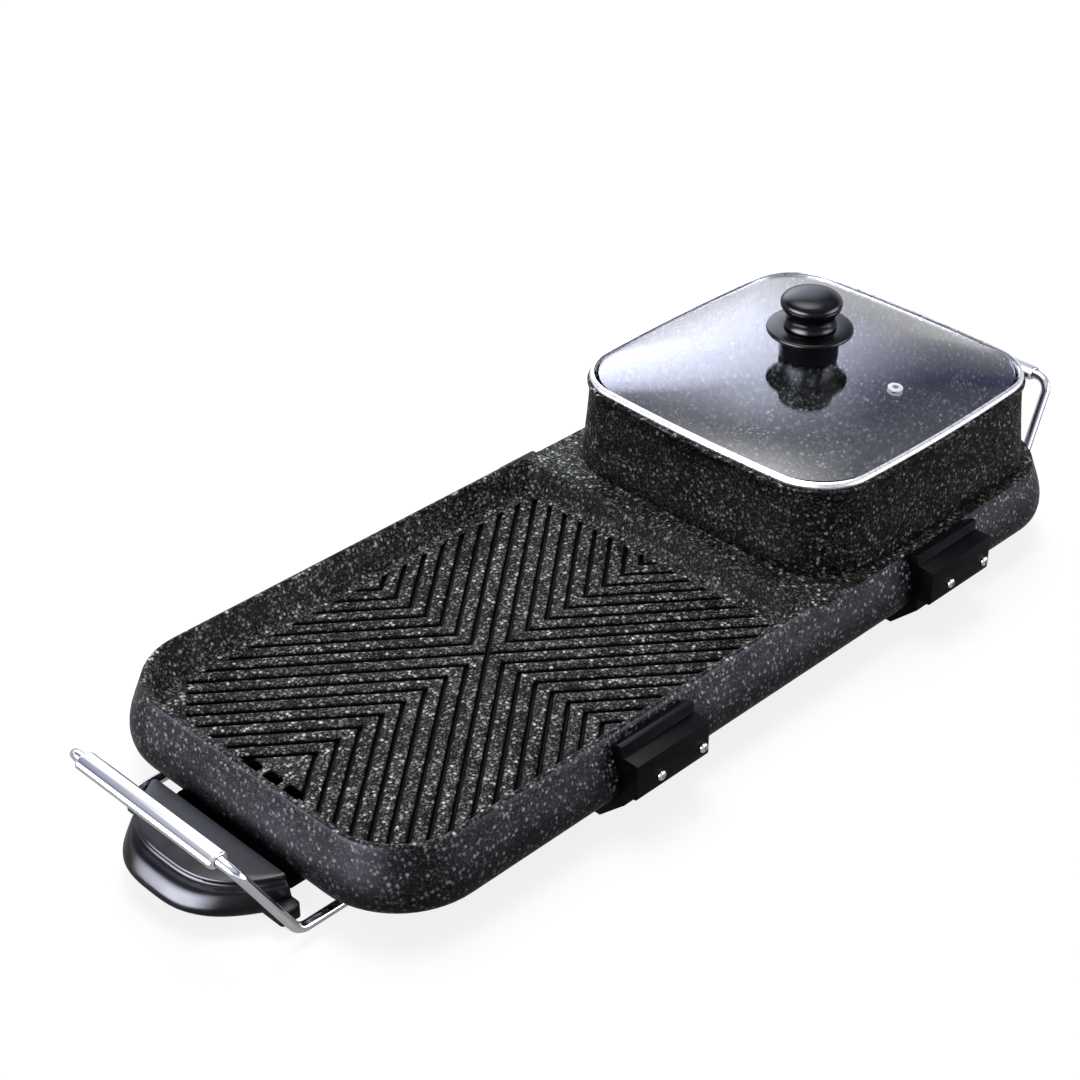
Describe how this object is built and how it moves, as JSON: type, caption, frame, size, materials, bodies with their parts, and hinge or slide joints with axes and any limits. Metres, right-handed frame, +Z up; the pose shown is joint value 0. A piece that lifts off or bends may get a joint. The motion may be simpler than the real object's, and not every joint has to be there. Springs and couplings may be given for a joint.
{
  "type": "electric grill pan with hot pot",
  "caption": "Long electric table pan: ribbed grill basin with drain slots and drip tray, lift-off square hot pot with domed glass lid, bakelite feet, chrome carrying handles.",
  "frame": {"origin": "on the table, under the middle of the bounding box, which is also under the middle of the pan's rim", "axes": "+Z up, +X along the pan towards the pot end, +Y towards the side with the mains inlet"},
  "size_m": [0.701, 0.2842, 0.1667],
  "materials": {
    "coating": "speckled non-stick coating",
    "bakelite": "gloss black",
    "chrome": "polished",
    "steel": "satin",
    "glass": "clear, toughened",
    "heater_skin": "oxidised",
    "black_sheet": "matt black",
    "brass": "plain",
    "silicone": "matt"
  },
  "bodies": {
    "pan": {"base_pan": "coating", "bottom_cover": "black_sheet", "cover_screw_1": "steel", "cover_screw_2": "steel", "cover_screw_3": "steel", "cover_screw_4": "steel", "cover_screw_5": "steel", "cover_screw_6": "steel", "foot_far_grill": "bakelite", "foot_far_grill_screw_a": "chrome", "foot_far_grill_screw_b": "chrome", "foot_far_pot": "bakelite", "foot_far_pot_screw_a": "chrome", "foot_far_pot_screw_b": "chrome", "foot_near_grill": "bakelite", "foot_near_grill_screw_a": "chrome", "foot_near_grill_screw_b": "chrome", "foot_near_pot": "bakelite", "foot_near_pot_screw_a": "chrome", "foot_near_pot_screw_b": "chrome", "grill_heater": "heater_skin", "grill_heater_clip_far": "steel", "grill_heater_clip_near": "steel", "handle_clamp_grill_far": "steel", "handle_clamp_grill_near": "steel", "handle_clamp_pot_far": "steel", "handle_clamp_pot_near": "steel", "handle_grill_end": "chrome", "handle_pot_end": "chrome", "handle_sleeve_grill_end": "chrome", "handle_sleeve_pot_end": "chrome", "inlet_pin_a": "brass", "inlet_pin_b": "brass", "inlet_shroud": "bakelite", "lead_grill": "black_sheet", "lead_link": "black_sheet", "lead_pot": "black_sheet", "pot_heater": "heater_skin", "pot_heater_clip_far": "steel", "pot_heater_clip_near": "steel", "probe_sleeve": "steel", "tray_runner_far": "steel", "tray_runner_near": "steel"},
    "pot": {"hot_pot": "coating"},
    "lid": {"lid_rim": "steel", "lid_glass": "glass", "vent_grommet": "silicone", "knob_base": "bakelite", "knob_grip": "bakelite", "knob_washer": "steel", "knob_screw": "steel"},
    "tray": {"drip_tray": "bakelite", "tray_grip": "bakelite", "tray_grip_screw_near": "steel", "tray_grip_screw_far": "steel"}
  },
  "joints": [
    {"name": "pot_lift", "type": "slide", "parent": "pan", "child": "pot", "axis": [0, 0, 1], "range_m": [0, 0.12]},
    {"name": "lid_lift", "type": "slide", "parent": "pot", "child": "lid", "axis": [0, 0, 1], "range_m": [0, 0.1]},
    {"name": "tray_pull", "type": "slide", "parent": "pan", "child": "tray", "axis": [-1, 0, 0], "range_m": [0, 0.09]}
  ]
}
